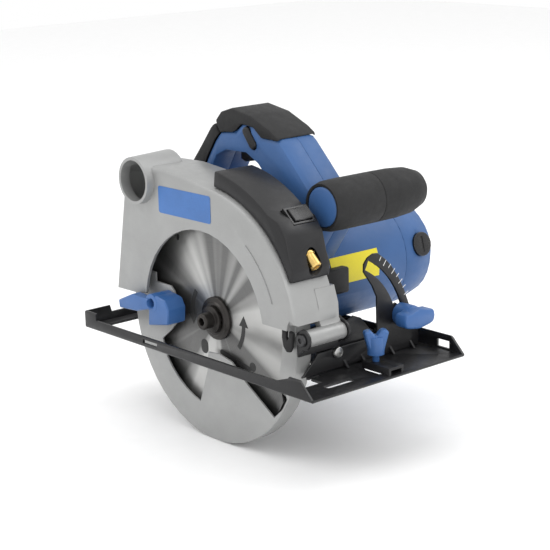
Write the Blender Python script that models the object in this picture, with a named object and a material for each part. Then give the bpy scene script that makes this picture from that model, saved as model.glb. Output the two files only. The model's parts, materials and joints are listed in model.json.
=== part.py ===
"""Hand-held circular saw, built as separate pieces in millimetres and scaled to metres.

+X is the cutting direction, -Y the blade side, +Z up; the origin is the middle
of the sole's underside.
"""
import math

import bmesh
import bpy
from mathutils import Matrix, Vector

MM = 0.001

# Driving dimensions, millimetres.
SOLE_LENGTH = 274.0
SOLE_WIDTH = 156.4
SHEET = 2.0
RIM_HEIGHT = 14.0
LOW_RIM = 8.2
BLADE_RADIUS = 92.5
CUT_DEPTH = 65.0
BLADE_PLATE = 1.6
BLADE_Y = -45.2
ARBOR_X = -4.0
GUARD_NEAR = -61.0
GUARD_FAR = -20.0
GUARD_BACK_WALL = -36.0
GUARD_RADIUS = 105.5
GUARD_WALL = 2.5
COVER_BAND = 12.5
CUTOUT_RADIUS = 70.9
LOWER_RADIUS = 96.85
LOWER_NEAR = -52.0
LOWER_FAR = -38.0
LOWER_WALL = 1.5
NECK_RADIUS = 19.6
SPINDLE_RADIUS = 7.7
BEVEL_Y = -15.0
BEVEL_Z = 15.0
BEVEL_RADIUS = 67.5
PIVOT_X = 101.4
PIVOT_Z = 33.5
PIVOT_BOSS = 6.4
PIN_RADIUS = 3.0
WALL_FRONT = 95.4
STRAP_RADIUS = 187.0
GEAR_MODULE = 1.2
PINION_TEETH = 9
GEAR_TEETH = 33
MOTOR_RADIUS = 45.0
MOTOR_X = 0.0
MOTOR_FRONT = -16.2
MOTOR_REAR = 110.0
MOTOR_END = 152.0
HANDLE_Y = 15.0
HANDLE_HALF = 20.0
GRIP_X = 75.0
GRIP_Z = 119.5
GRIP_RADIUS = 19.3
GAP = 0.35

# Sizes that follow from the driving ones.
ARBOR_Z = BLADE_RADIUS - CUT_DEPTH
GEAR_SPAN = GEAR_MODULE * (PINION_TEETH + GEAR_TEETH) / 2
MOTOR_Z = ARBOR_Z + math.sqrt(GEAR_SPAN ** 2 - (MOTOR_X - ARBOR_X) ** 2)
SOLE_X = SOLE_LENGTH / 2
SOLE_Y = SOLE_WIDTH / 2
WALL_BACK = WALL_FRONT - SHEET
TILT_FRONT = WALL_BACK - 4 * GAP
TILT_BACK = TILT_FRONT - SHEET
SLOT_FRONT = 93.15
REAR_PLATE = -112.0
COVER_INNER = GUARD_RADIUS + GAP
COVER_OUTER = COVER_INNER + COVER_BAND
NEAR_EAR = -54.6
FAR_EAR = -16.0

FINISHES = {
    "black_steel": ((0.03, 0.03, 0.032), 0.5, 0.7),
    "die_cast": ((0.62, 0.62, 0.62), 0.45, 0.8),
    "bright_steel": ((0.55, 0.55, 0.56), 0.3, 1.0),
    "blue_plastic": ((0.075, 0.17, 0.42), 0.5, 0.0),
    "black_plastic": ((0.025, 0.025, 0.027), 0.55, 0.0),
    "soft_grip": ((0.03, 0.03, 0.03), 0.8, 0.0),
    "brass": ((0.7, 0.5, 0.18), 0.3, 1.0),
    "copper": ((0.6, 0.28, 0.15), 0.4, 1.0),
}

# Plane of each axis: the two directions a profile is drawn in, then the axis.
PLANES = {
    "X": (Vector((0, 1, 0)), Vector((0, 0, 1)), Vector((1, 0, 0))),
    "Y": (Vector((1, 0, 0)), Vector((0, 0, 1)), Vector((0, 1, 0))),
    "Z": (Vector((1, 0, 0)), Vector((0, 1, 0)), Vector((0, 0, 1))),
}


def clear_scene():
    """Remove whatever the new file starts with."""
    for obj in list(bpy.data.objects):
        bpy.data.objects.remove(obj, do_unlink=True)


def finish_material(name):
    """Return the shared material of one finish."""
    found = bpy.data.materials.get(name)
    if found:
        return found
    colour, roughness, metallic = FINISHES[name]
    made = bpy.data.materials.new(name)
    made.use_nodes = True
    shader = made.node_tree.nodes["Principled BSDF"]
    shader.inputs["Base Color"].default_value = (*colour, 1.0)
    shader.inputs["Roughness"].default_value = roughness
    shader.inputs["Metallic"].default_value = metallic
    made.diffuse_color = (*colour, 1.0)
    return made


def new_object(name, mesh_data):
    """Turn a bmesh in millimetres into a linked object in metres."""
    bmesh.ops.recalc_face_normals(mesh_data, faces=mesh_data.faces)
    mesh = bpy.data.meshes.new(name)
    mesh_data.to_mesh(mesh)
    mesh_data.free()
    mesh.transform(Matrix.Scale(MM, 4))
    obj = bpy.data.objects.new(name, mesh)
    bpy.context.collection.objects.link(obj)
    return obj


def spot(axis, u, v, along):
    """Point at (u, v) in an axis's plane, some way along the axis."""
    first, second, third = PLANES[axis]
    return first * u + second * v + third * along


def prism(outline, axis, low, high, name="tool"):
    """Extrude a flat outline along an axis."""
    work = bmesh.new()
    corners = [work.verts.new(spot(axis, u, v, low)) for u, v in outline]
    face = work.faces.new(corners)
    grown = bmesh.ops.extrude_face_region(work, geom=[face])
    moved = [item for item in grown["geom"] if isinstance(item, bmesh.types.BMVert)]
    bmesh.ops.translate(work, vec=PLANES[axis][2] * (high - low), verts=moved)
    return new_object(name, work)


def box(x_range, y_range, z_range, name="tool"):
    """Block between two corners."""
    (x0, x1), (y0, y1), (z0, z1) = x_range, y_range, z_range
    return prism([(x0, y0), (x1, y0), (x1, y1), (x0, y1)], "Z", z0, z1, name)


def turned(profile, axis, centre, steps=24, name="tool"):
    """Spin a closed profile of (radius, along) points about an axis."""
    work = bmesh.new()
    first, second, third = PLANES[axis]
    middle = first * centre[0] + second * centre[1]
    verts = [work.verts.new(middle + first * r + third * h) for r, h in profile]
    edges = []
    for start, end in zip(verts, verts[1:] + verts[:1]):
        on_axis = (start.co - middle).dot(first) < 1e-6 and (end.co - middle).dot(first) < 1e-6
        if not on_axis:
            edges.append(work.edges.new((start, end)))
    bmesh.ops.spin(work, geom=verts + edges, cent=middle, axis=third,
                   angle=math.tau, steps=steps, use_merge=True)
    bmesh.ops.remove_doubles(work, verts=work.verts, dist=0.0001)
    return new_object(name, work)


def rod(radius, axis, centre, low, high, steps=24, name="tool"):
    """Plain round bar."""
    profile = [(0, low), (radius, low), (radius, high), (0, high)]
    return turned(profile, axis, centre, steps, name)


def sleeve(inner, outer, axis, centre, low, high, steps=24, name="tool"):
    """Round ring with a bore."""
    profile = [(inner, low), (outer, low), (outer, high), (inner, high)]
    return turned(profile, axis, centre, steps, name)


def bake(obj):
    """Apply the object's modifiers to its mesh."""
    graph = bpy.context.evaluated_depsgraph_get()
    mesh = bpy.data.meshes.new_from_object(obj.evaluated_get(graph))
    obj.modifiers.clear()
    obj.data = mesh


def combine(obj, tools, operation):
    """Boolean each tool into the object and remove the tool."""
    for tool in tools:
        step = obj.modifiers.new(operation, "BOOLEAN")
        step.operation = operation
        step.solver = "EXACT"
        step.object = tool
        bake(obj)
        bpy.data.objects.remove(tool, do_unlink=True)
    return obj


def cut(obj, *tools):
    """Take the tools away from the object."""
    return combine(obj, tools, "DIFFERENCE")


def add(obj, *tools):
    """Grow the object by the tools."""
    return combine(obj, tools, "UNION")


def soften(obj, width, segments=2, angle=40):
    """Round the object's sharp edges."""
    step = obj.modifiers.new("round", "BEVEL")
    step.width = width * MM
    step.segments = segments
    step.limit_method = "ANGLE"
    step.angle_limit = math.radians(angle)
    step.use_clamp_overlap = True
    bake(obj)
    return obj


def round_near_edges(obj, y, z_min, width, segments=2):
    """Round the edges that lie in the plane y and above a height."""
    work = bmesh.new()
    work.from_mesh(obj.data)
    chosen = []
    for edge in work.edges:
        ends = [vert.co / MM for vert in edge.verts]
        if all(abs(end.y - y) < 0.01 and end.z > z_min for end in ends):
            chosen.append(edge)
    bmesh.ops.bevel(work, geom=chosen, offset=width * MM, segments=segments, affect="EDGES",
                    profile=0.5)
    work.to_mesh(obj.data)
    work.free()
    return obj


def done(obj, name, finish, origin=None, sharp=32):
    """Name, colour and shade a piece; put its origin on its joint axis."""
    obj.name = name
    obj.data.name = name
    obj.data.materials.clear()
    obj.data.materials.append(finish_material(finish))
    obj.data.shade_smooth()
    obj.data.set_sharp_from_angle(angle=math.radians(sharp))
    if origin is not None:
        shift = Vector(origin) * MM
        obj.data.transform(Matrix.Translation(-shift))
        obj.location = shift
    return obj


def arc(radius, start, end, steps, centre=(ARBOR_X, ARBOR_Z)):
    """Points on a circle from one angle to another, degrees."""
    points = []
    for i in range(steps + 1):
        turn = math.radians(start + (end - start) * i / steps)
        points.append((centre[0] + radius * math.cos(turn), centre[1] + radius * math.sin(turn)))
    return points


def from_arbor(points):
    """Shift points given from the arbor to world X and Z."""
    return [(ARBOR_X + x, ARBOR_Z + z) for x, z in points]


def slot_outline(centre, radius, start, end, width, steps=8):
    """Outline of a curved slot with round-cornered ends."""
    inner = arc(radius - width / 2, start, end, steps, centre)
    outer = arc(radius + width / 2, end, start, steps, centre)
    return inner + outer


def capsule(centre, length, width, turn=0.0, steps=5):
    """Outline of a straight slot with half-round ends."""
    reach = (length - width) / 2
    points = []
    for side, start in ((1, -90), (-1, 90)):
        for i in range(steps + 1):
            a = math.radians(start + 180 * i / steps)
            points.append((side * reach + width / 2 * math.cos(a), width / 2 * math.sin(a)))
    c, s = math.cos(math.radians(turn)), math.sin(math.radians(turn))
    return [(centre[0] + u * c - v * s, centre[1] + u * s + v * c) for u, v in points]


def sole_plate():
    """Pressed steel sole with raised side and rear rims, slots and holes."""
    body = box((-SOLE_X, SOLE_X), (-SOLE_Y, SOLE_Y), (0, RIM_HEIGHT))
    soften(body, 0.9, 1)
    inside = SHEET + 0.5
    pocket = box((-SOLE_X + SHEET, SOLE_X + 5), (-SOLE_Y + SHEET, SOLE_Y - SHEET), (SHEET, 40))
    low_rim = prism([(-SOLE_X + 14, 40), (-SOLE_X + 16, LOW_RIM), (98, LOW_RIM), (112, RIM_HEIGHT - 1),
                     (112, 40)], "Y", -SOLE_Y - 1, -SOLE_Y + inside)
    rear_dip = prism([(-62, 40), (-52, LOW_RIM), (-28, LOW_RIM), (-18, 40)], "X",
                     -SOLE_X - 1, -SOLE_X + inside)
    left_dip = box((-60, 88), (SOLE_Y - inside, SOLE_Y + 1), (LOW_RIM - 1, 40))
    nose = prism([(SOLE_X - 14, RIM_HEIGHT + 1), (SOLE_X - 1, SHEET), (SOLE_X + 5, SHEET),
                  (SOLE_X + 5, 40), (SOLE_X - 14, 40)], "Y", -SOLE_Y - 1, SOLE_Y + 1)
    blade_slot = box((-125, SLOT_FRONT), (-SOLE_Y + SHEET, BEVEL_Y - 1), (-1, SHEET + 1))
    strip_slot = box((WALL_FRONT + 0.2, WALL_FRONT + 3), (-52, -33), (-1, SHEET + 1))
    ear_slot = box((SLOT_FRONT - 1, WALL_FRONT + 15.2), (-67, -44), (-1, SHEET + 1))
    gauge_slot = prism(capsule((120.5, -37), 28, 6.5, 90), "Z", -1, SHEET + 1)
    notch = prism([(100, 14), (104, 2), (112, -2), (126, -2), (129, 4), (119, 15), (108, 16)], "Z",
                  -1, SHEET + 1)
    left_window = box((110, 122.5), (SOLE_Y - inside, SOLE_Y + 1), (3.2, 9.2))
    rear_window = box((-58, -40), (-SOLE_Y - 1, -SOLE_Y + inside), (3, 6))
    cut(body, pocket, low_rim, rear_dip, left_dip, nose, blade_slot, strip_slot, ear_slot,
        gauge_slot, notch, left_window, rear_window)
    for x in RIVET_X:
        for y in RIVET_Y:
            cut(body, rod(RIVET_RADIUS + GAP, "Z", (x, y), -1, 5, 12))
    strap = prism([(106, 0), (134, 0), (134, 15), (106, 15)], "Z", SHEET - 0.2, SHEET + 5.2)
    groove = box((105, 135), (2.2, 12.8), (SHEET - 1, SHEET + 3.2))
    hole = rod(2.6 + GAP, "Z", FENCE_SCREW, 0, 20, 14)
    cut(strap, groove, hole)
    return done(add(body, strap), "sole_plate", "black_steel")


RIVET_X = (88.5, -105.0)
RIVET_Y = (30.0,)
RIVET_RADIUS = 2.3
FENCE_SCREW = (113.0, 7.5)
FOOT_TOP = SHEET * 2 + GAP


def rivets():
    """The rivets that hold the two bevel brackets to the sole."""
    made = []
    for place, x in zip(("front", "rear"), RIVET_X):
        for y in RIVET_Y:
            top = FOOT_TOP + GAP
            profile = [(0, 0.3), (RIVET_RADIUS, 0.3), (RIVET_RADIUS, top), (4.2, top),
                       (3.4, top + 1.4), (0, top + 2)]
            made.append(done(turned(profile, "Z", (x, y), 12), f"rivet_{place}",
                             "bright_steel"))
    return made


def bevel_quadrant():
    """Front wall with the slotted, graduated bevel quadrant."""
    low = SHEET + GAP
    outline = [(-50, low), (-37, 13.8), (-34, 18), (24, 18), (27, 22), (26.6, 48.7), (22, 58),
               (13.2, 70), (13.6, 76), (17.4, 80.2), (23, 82.4), (28, 82), (36, 76), (42.5, 69.6),
               (49.5, 60), (55.2, 50.1), (60, 39), (64.5, 28), (71, 13.7), (71, low)]
    plate = prism(outline, "X", WALL_BACK, WALL_FRONT)
    soften(plate, 0.4, 1)
    slot = prism(slot_outline((BEVEL_Y, BEVEL_Z), BEVEL_RADIUS, 10.5, 62.5, 7.6, 10), "X",
                 WALL_BACK - 1, WALL_FRONT + 1)
    pin_hole = rod(PIN_RADIUS + GAP, "X", (BEVEL_Y, BEVEL_Z), WALL_BACK - 1, WALL_FRONT + 1, 16)
    foot = box((WALL_BACK - 10, WALL_BACK + 1), (BEVEL_Y + 3, 70), (low, low + SHEET))
    add(plate, foot)
    cut(plate, slot, pin_hole)
    for y in RIVET_Y:
        cut(plate, rod(RIVET_RADIUS + GAP, "Z", (RIVET_X[0], y), 0, 9, 12))
    for y in (-8, 10, 40, 62):
        rib = prism([(WALL_FRONT - 0.5, low), (WALL_FRONT + 5, low), (WALL_FRONT - 0.5, low + 6)],
                    "Y", y - 1, y + 1)
        add(plate, rib)
    return done(plate, "bevel_quadrant", "black_steel")


def rear_bevel_bracket():
    """Fixed bracket of the rear bevel hinge."""
    low = SHEET + GAP
    outline = [(-21, 8), (-24, 15), (-21, 22), (-13, 26), (10, 24), (60, 10), (60, low), (-12, low)]
    plate = prism(outline, "X", REAR_PLATE, REAR_PLATE + SHEET)
    foot = box((REAR_PLATE + 1, REAR_PLATE + 12), (BEVEL_Y + 3, 60), (low, low + SHEET))
    add(plate, foot)
    cut(plate, rod(PIN_RADIUS + GAP, "X", (BEVEL_Y, BEVEL_Z), REAR_PLATE - 1, REAR_PLATE + 4, 16))
    for y in RIVET_Y:
        cut(plate, rod(RIVET_RADIUS + GAP, "Z", (RIVET_X[1], y), 0, 9, 12))
    return done(plate, "rear_bevel_bracket", "black_steel")


def bevel_pins():
    """Front and rear hinge pins the saw tilts about, each fixed in its tilt bracket."""
    centre = (BEVEL_Y, BEVEL_Z)
    front = turned([(0, TILT_BACK - 2), (PIN_RADIUS, TILT_BACK - 2), (PIN_RADIUS, WALL_FRONT + GAP),
                    (4.6, WALL_FRONT + GAP), (4, WALL_FRONT + 2.4), (0, WALL_FRONT + 2.6)],
                   "X", centre, 16)
    rear = turned([(0, REAR_PLATE - GAP - 2.2), (4.6, REAR_PLATE - GAP - 2), (5.4, REAR_PLATE - GAP),
                   (PIN_RADIUS, REAR_PLATE - GAP), (PIN_RADIUS, REAR_PLATE + 7),
                   (0, REAR_PLATE + 7)], "X", centre, 16)
    return [done(front, "bevel_pin_front", "bright_steel"),
            done(rear, "bevel_pin_rear", "bright_steel")]


def fence_wing_screw():
    """Blue wing screw that clamps a fence bar under the strap."""
    x, y = FENCE_SCREW
    wing = prism([(x - 5.5, 13), (x + 5.5, 13), (x + 6, 17), (x + 9.5, 30), (x + 4.5, 31.5),
                  (x, 26), (x - 4.5, 31.5), (x - 9.5, 30), (x - 6, 17)], "Y", y - 4.2, y + 4.2)
    soften(wing, 1.2, 1)
    barrel = rod(6.4, "Z", (x, y), 12.5, 26, 16)
    stem = rod(2.6, "Z", (x, y), SHEET + 0.6, 14, 14)
    add(wing, barrel, stem)
    spin = math.radians(60)
    wing.data.transform(Matrix.Translation(Vector((x, y, 0)) * MM) @ Matrix.Rotation(spin, 4, "Z")
                        @ Matrix.Translation(Vector((-x, -y, 0)) * MM))
    return done(wing, "fence_wing_screw", "blue_plastic", (x, y, 20))


def tilt_bracket_front():
    """Tilting plate behind the wall, with the two ears of the depth hinge."""
    outline = [(-34, 22), (-30, 13), (-22, 9), (-14, 7), (-4, 9), (10, 15), (30, 16), (54, 24),
               (56, 34), (50, 39), (43, 36), (27.6, 21), (21.3, 25.2), (13.1, 34.7),
               (5.9, 37.7), (-1.3, 34.6), (-8, 41), (-16, 41.5), (-20, 38), (-24, 27), (-34, 27)]
    plate = prism(outline, "X", TILT_BACK, TILT_FRONT)
    ear_outline = [(TILT_BACK, 26), (WALL_FRONT, 22)]
    ear_outline += [(PIVOT_X + 8 * math.cos(a), PIVOT_Z + 8 * math.sin(a))
                    for a in [math.radians(-90 + 22.5 * i) for i in range(9)]]
    ear_outline += [(TILT_BACK, 38)]
    far_ear = prism(ear_outline, "Y", FAR_EAR, FAR_EAR + SHEET)
    near_outline = [(WALL_FRONT + GAP, 20)] + ear_outline[2:-1] + [(WALL_FRONT + GAP, 38)]
    near_ear = prism(near_outline, "Y", NEAR_EAR, NEAR_EAR + SHEET)
    strip = box((WALL_FRONT + GAP, WALL_FRONT + GAP + SHEET), (NEAR_EAR, FAR_EAR + SHEET), (20, 26.4))
    add(plate, far_ear, strip, near_ear)
    pin_hole = rod(PIN_RADIUS + GAP, "Y", (PIVOT_X, PIVOT_Z), NEAR_EAR - 1, FAR_EAR + 4, 16)
    hinge_hole = rod(PIN_RADIUS + GAP, "X", (BEVEL_Y, BEVEL_Z), TILT_BACK - 1, TILT_FRONT + 1, 16)
    stud_hole = rod(STUD_RADIUS + GAP, "X", STUD, TILT_BACK - 1, TILT_FRONT + 1, 14)
    cut(plate, pin_hole, hinge_hole, stud_hole)
    return done(plate, "tilt_bracket_front", "black_steel")


STUD_RADIUS = 2.8
STUD = (BEVEL_Y + BEVEL_RADIUS * math.cos(math.radians(14)),
        BEVEL_Z + BEVEL_RADIUS * math.sin(math.radians(14)))
CLAMP_ANGLE = 2.0
CLAMP = (PIVOT_X - STRAP_RADIUS * math.cos(math.radians(CLAMP_ANGLE)),
         PIVOT_Z + STRAP_RADIUS * math.sin(math.radians(CLAMP_ANGLE)))
STRAP_Y = -18.5
DEPTH_TURN = 26.0


def bevel_stud():
    """Threaded stud through the quadrant slot, fixed in the tilting plate."""
    profile = [(0, TILT_BACK - 2), (5, TILT_BACK - 2), (5, TILT_BACK - GAP),
               (STUD_RADIUS, TILT_BACK - GAP), (STUD_RADIUS, 112), (0, 112)]
    return done(turned(profile, "X", STUD, 14), "bevel_stud", "bright_steel")


def bevel_knob():
    """Blue two-lobed knob on the bevel stud."""
    y, z = STUD
    low = WALL_FRONT + GAP
    knob = rod(8.6, "X", STUD, low, low + 13, 20)
    wing = prism([(y - 15, z - 5), (y - 10, z - 6.5), (y, z - 8), (y + 10, z - 6.5), (y + 15, z - 5),
                  (y + 16, z), (y + 15, z + 5), (y + 9, z + 5.5), (y, z + 8), (y - 9, z + 5.5),
                  (y - 15, z + 5), (y - 16, z)], "X", low + 9, low + 22)
    soften(wing, 2.2, 2)
    add(knob, wing)
    cut(knob, rod(STUD_RADIUS + GAP, "X", STUD, low - 1, 113, 14))
    return done(knob, "bevel_knob", "blue_plastic", (low, y, z))


def tilt_bracket_rear():
    """Tilting plate of the rear hinge, with the curved depth strap."""
    front = REAR_PLATE + SHEET + 1.2
    plate = prism([(-24, 15), (-20, 9), (-12, 8), (-8, 14), (-10, 30), (-24, 33)], "X",
                  front, front + SHEET)
    foot = box((front, -80), (STRAP_Y, STRAP_Y + SHEET), (12, 33))
    turn = math.degrees(math.atan2(PIVOT_Z - 26, STRAP_RADIUS))
    top = 180 - DEPTH_TURN - 6
    strap = prism(arc(STRAP_RADIUS - 7, 180 + turn, top, 12, (PIVOT_X, PIVOT_Z))
                  + arc(STRAP_RADIUS + 7, top, 180 + turn, 12, (PIVOT_X, PIVOT_Z)),
                  "Y", STRAP_Y, STRAP_Y + SHEET)
    add(plate, foot, strap)
    slot = prism(slot_outline((PIVOT_X, PIVOT_Z), STRAP_RADIUS, 180 - CLAMP_ANGLE + 1.4,
                              180 - CLAMP_ANGLE - DEPTH_TURN - 1.4, 7, 12), "Y",
                 STRAP_Y - 1, STRAP_Y + SHEET + 1)
    hinge_hole = rod(PIN_RADIUS + GAP, "X", (BEVEL_Y, BEVEL_Z), front - 1, front + 4, 16)
    cut(plate, slot, hinge_hole)
    return done(plate, "tilt_bracket_rear", "black_steel")


def depth_pivot_pin():
    """Pin of the depth hinge, fixed in the two ears of the front tilting bracket."""
    profile = [(0, NEAR_EAR - 2.4), (4.4, NEAR_EAR - 2.2), (5, NEAR_EAR - GAP),
               (PIN_RADIUS, NEAR_EAR - GAP), (PIN_RADIUS, FAR_EAR + SHEET + 4),
               (0, FAR_EAR + SHEET + 4)]
    pin = turned(profile, "Y", (PIVOT_X, PIVOT_Z), 20)
    socket = prism(arc(2, 0, 300, 5, (PIVOT_X, PIVOT_Z)), "Y", NEAR_EAR - 4, NEAR_EAR - 1)
    return done(cut(pin, socket), "depth_pivot_pin", "bright_steel")


def guard_outline(inset=0.0):
    """Side outline of the upper guard, optionally drawn in by a wall's thickness."""
    reach = GUARD_RADIUS - inset
    rise = math.degrees(math.asin((44 - ARBOR_Z) / reach))
    rim = arc(reach, rise, 84, 16)
    top = [(-22, 137.4 - inset), (-48, 140 - inset), (-94, 139 - inset), (-101 + inset, 130),
           (-100.4 + inset, 111.8), (-105 + inset, 72), (-111.9 + inset, 34.8 - inset * 4)]
    low = [(-86.6, 35.2 - inset * 4), (-75.5, 36.5 - inset * 4), (-68.2, 44 - inset * 4)]
    close = [(66.2, 39.8 - inset * 4), (92, 39.8 - inset * 4), (93, 44 - inset * 4)]
    return rim + top + low + [(-60, 44 - inset * 4), (60, 44 - inset * 4)] + close


PORT = (-77.0, 127.5)
PORT_RADIUS = 18.5
PORT_NEAR = -67.2
SPINDLE_HOUSING_NEAR = -32.6


def upper_guard():
    """Die-cast upper guard with the dust port and the spindle neck."""
    body = prism(guard_outline(), "Y", GUARD_NEAR, GUARD_FAR)
    round_near_edges(body, GUARD_NEAR, 43.5, 4)
    port = turned([(0, PORT_NEAR), (PORT_RADIUS, PORT_NEAR), (PORT_RADIUS + 1.5, -30),
                   (0, GUARD_FAR - 4)], "Y", PORT, 28)
    add(body, port)
    front_pocket = prism(guard_outline(GUARD_WALL), "Y", GUARD_NEAR + GUARD_WALL, GUARD_BACK_WALL)
    rear_pocket = prism(guard_outline(GUARD_WALL), "Y", GUARD_BACK_WALL + 3, GUARD_FAR + 1)
    cut(body, front_pocket, rear_pocket)
    arbor = (ARBOR_X, ARBOR_Z)
    window = rod(CUTOUT_RADIUS, "Y", arbor, GUARD_NEAR - 9, GUARD_NEAR + GUARD_WALL + 1, 40)
    disc = rod(23.5, "Y", arbor, GUARD_BACK_WALL + 0.1, GUARD_BACK_WALL + 2.9, 32)
    neck = rod(NECK_RADIUS, "Y", arbor, GUARD_BACK_WALL - 4.5, GUARD_BACK_WALL + 1, 32)
    add(body, disc, neck)
    bore = rod(SPINDLE_RADIUS + 1, "Y", arbor, GUARD_BACK_WALL - 6, GUARD_BACK_WALL + 4, 24)
    duct = rod(PORT_RADIUS - 2.4, "Y", PORT, PORT_NEAR - 1, GUARD_BACK_WALL - 1, 28)
    clamp_hole = rod(PIN_RADIUS + GAP, "Y", CLAMP, GUARD_BACK_WALL - 1, GUARD_BACK_WALL + 4, 14)
    cut(body, window, bore, duct, clamp_hole)
    rib = prism(arc(85.6, 20, 52, 8) + arc(86.6, 52, 20, 8), "Y", GUARD_NEAR - 0.8, GUARD_NEAR + 1)
    add(body, rib, pivot_arm())
    return done(body, "upper_guard", "die_cast")


def pivot_arm():
    """Ribbed front panel of the casting and the barrel of the depth hinge."""
    barrel_near = NEAR_EAR + SHEET + GAP
    barrel_far = FAR_EAR - GAP
    panel = prism([(99.3, 43.1), (98.7, 54), (94.6, 66.3), (90.2, 66.3), (92.1, 52), (93.2, 41.7),
                   (96.4, 37.2), (103, 37)], "Y", GUARD_BACK_WALL + 0.4, barrel_far)
    boss = rod(PIVOT_BOSS, "Y", (PIVOT_X, PIVOT_Z), barrel_near, barrel_far, 24)
    add(panel, boss)
    hole = rod(PIN_RADIUS + GAP, "Y", (PIVOT_X, PIVOT_Z), barrel_near - 1, barrel_far + 1, 18)
    return cut(panel, hole)


def lower_guard_shell():
    """Retracting lower guard: two cheeks joined by a round rim."""
    wrap = arc(LOWER_RADIUS, 165, 375, 30)
    body = prism(wrap, "Y", LOWER_NEAR, LOWER_FAR)
    inner = arc(LOWER_RADIUS - LOWER_WALL, 150, 390, 34)
    pocket = prism(inner, "Y", LOWER_NEAR + LOWER_WALL, LOWER_FAR - LOWER_WALL)
    opening = [(78.2, 60)] + [(x - ARBOR_X, z - ARBOR_Z) for x, z in arc(81, 15, -18, 4)]
    opening += [(84.8, -44.2), (79.4, -53), (69.8, -61.8), (38.8, -42.3), (22, -29), (8, -26),
                (-5.5, -27), (-7.4, -42.9)]
    opening += [(x - ARBOR_X, z - ARBOR_Z) for x, z in arc(72, -104, -144, 5)]
    opening += [(-63.5, -28), (-51.8, -19), (-45, -12), (-43.5, 7.9), (-46, 14), (-50.2, 17.4),
                (-68.9, 17.8), (-69.5, 60)]
    window = prism(from_arbor(opening), "Y", LOWER_NEAR - 1, LOWER_NEAR + LOWER_WALL + 1)
    bore = rod(NECK_RADIUS + GAP, "Y", (ARBOR_X, ARBOR_Z), LOWER_FAR - 3, LOWER_FAR + 1, 32)
    screw = rod(2.2 + GAP, "Y", LEVER_HUB, LOWER_NEAR - 1, LOWER_NEAR + LOWER_WALL + 1, 14)
    cut(body, pocket, window, bore, screw)
    return done(body, "lower_guard_shell", "die_cast", (ARBOR_X, BLADE_Y, ARBOR_Z))


LEVER_HUB = (-56.0, 34.0)


def guard_lever():
    """Blue thumb lever on the lower guard."""
    x, z = LEVER_HUB
    far = LOWER_NEAR - GAP
    hub = rod(7.2, "Y", LEVER_HUB, -70.2, far, 20)
    arm = prism([(x + 2, z + 3), (x - 12, z + 2.6), (x - 23, z + 3.4), (x - 41.5, z - 4.6),
                 (x - 40.5, z - 11), (x - 18, z - 9.6), (x + 2, z - 4)], "Y", -71.8, -62.4)
    tab = prism([(x - 4, z - 4), (x - 5, z - 19), (x + 20, z - 14), (x + 21, z - 2),
                 (x + 17, z + 5), (x + 5, z + 7)], "Y", -70, far)
    soften(arm, 0.9, 1)
    soften(tab, 0.9, 1)
    add(hub, tab, arm)
    hole = rod(2.2 + GAP, "Y", LEVER_HUB, -80, far + 1, 14)
    counterbore = rod(3.8, "Y", LEVER_HUB, -80, -66, 16)
    cut(hub, hole, counterbore)
    return done(hub, "guard_lever", "blue_plastic")


def guard_spring():
    """Flat spiral return spring around the spindle neck."""
    middle = (LOWER_FAR + GUARD_BACK_WALL) / 2
    turns, steps, wire = 2.75, 44, 0.3
    work = bmesh.new()
    rings = []
    for i in range(steps + 1):
        angle = math.tau * turns * i / steps
        reach = NECK_RADIUS + 1.6 + 6 * i / steps
        outward = Vector((math.cos(angle), 0, math.sin(angle)))
        centre = Vector((ARBOR_X, middle, ARBOR_Z)) + outward * reach
        rings.append([work.verts.new(centre + outward * wire * a + Vector((0, wire * b, 0)))
                      for a, b in ((1, 1), (-1, 1), (-1, -1), (1, -1))])
    for first, second in zip(rings, rings[1:]):
        for k in range(4):
            work.faces.new((first[k], first[(k + 1) % 4], second[(k + 1) % 4], second[k]))
    work.faces.new(rings[0])
    work.faces.new(rings[-1])
    return done(new_object("guard_spring", work), "guard_spring", "bright_steel")


def saw_blade():
    """Toothed blade with its bore."""
    teeth = 24
    outline = []
    for i in range(teeth):
        base = 360 * i / teeth
        pitch = 360 / teeth
        for part, radius in ((0.0, BLADE_RADIUS), (0.16, BLADE_RADIUS - 1.2),
                             (0.72, BLADE_RADIUS - 3.4), (0.94, BLADE_RADIUS - 8.6)):
            turn = math.radians(base + pitch * part)
            outline.append((ARBOR_X + radius * math.cos(turn), ARBOR_Z + radius * math.sin(turn)))
    low = BLADE_Y - BLADE_PLATE / 2
    blade = prism(outline, "Y", low, low + BLADE_PLATE)
    bore = rod(SPINDLE_RADIUS + GAP, "Y", (ARBOR_X, ARBOR_Z), low - 1, low + 3, 24)
    return done(cut(blade, bore), "saw_blade", "bright_steel", (ARBOR_X, BLADE_Y, ARBOR_Z))


def blade_flanges():
    """Inner and outer clamping flanges."""
    arbor = (ARBOR_X, ARBOR_Z)
    near = BLADE_Y - BLADE_PLATE / 2 - GAP
    far = BLADE_Y + BLADE_PLATE / 2 + GAP
    bore = SPINDLE_RADIUS + GAP
    outer = turned([(bore, near), (16.8, near), (16.8, near - 2.2), (13.5, near - 2.8),
                    (12.5, near - 4), (bore, near - 4)], "Y", arbor, 32)
    inner = sleeve(bore, 16, "Y", arbor, far, far + 3.2, 32)
    return [done(outer, "outer_flange", "black_steel"), done(inner, "inner_flange", "bright_steel")]


def blade_bolt():
    """Hexagon-socket bolt and washer face that clamp the blade."""
    arbor = (ARBOR_X, ARBOR_Z)
    seat = BLADE_Y - BLADE_PLATE / 2 - 4 - 2 * GAP
    profile = [(0, seat - 11.6), (5.6, seat - 11.6), (6.5, seat - 10.8), (6.5, seat - 3.2),
               (10.6, seat - 2.8), (10.6, seat), (3.4, seat), (3.4, seat + 16), (0, seat + 16)]
    bolt = turned(profile, "Y", arbor, 24)
    socket = prism(arc(3.4, 0, 300, 5), "Y", seat - 13, seat - 6.5)
    return done(cut(bolt, socket), "blade_bolt", "black_steel")


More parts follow.
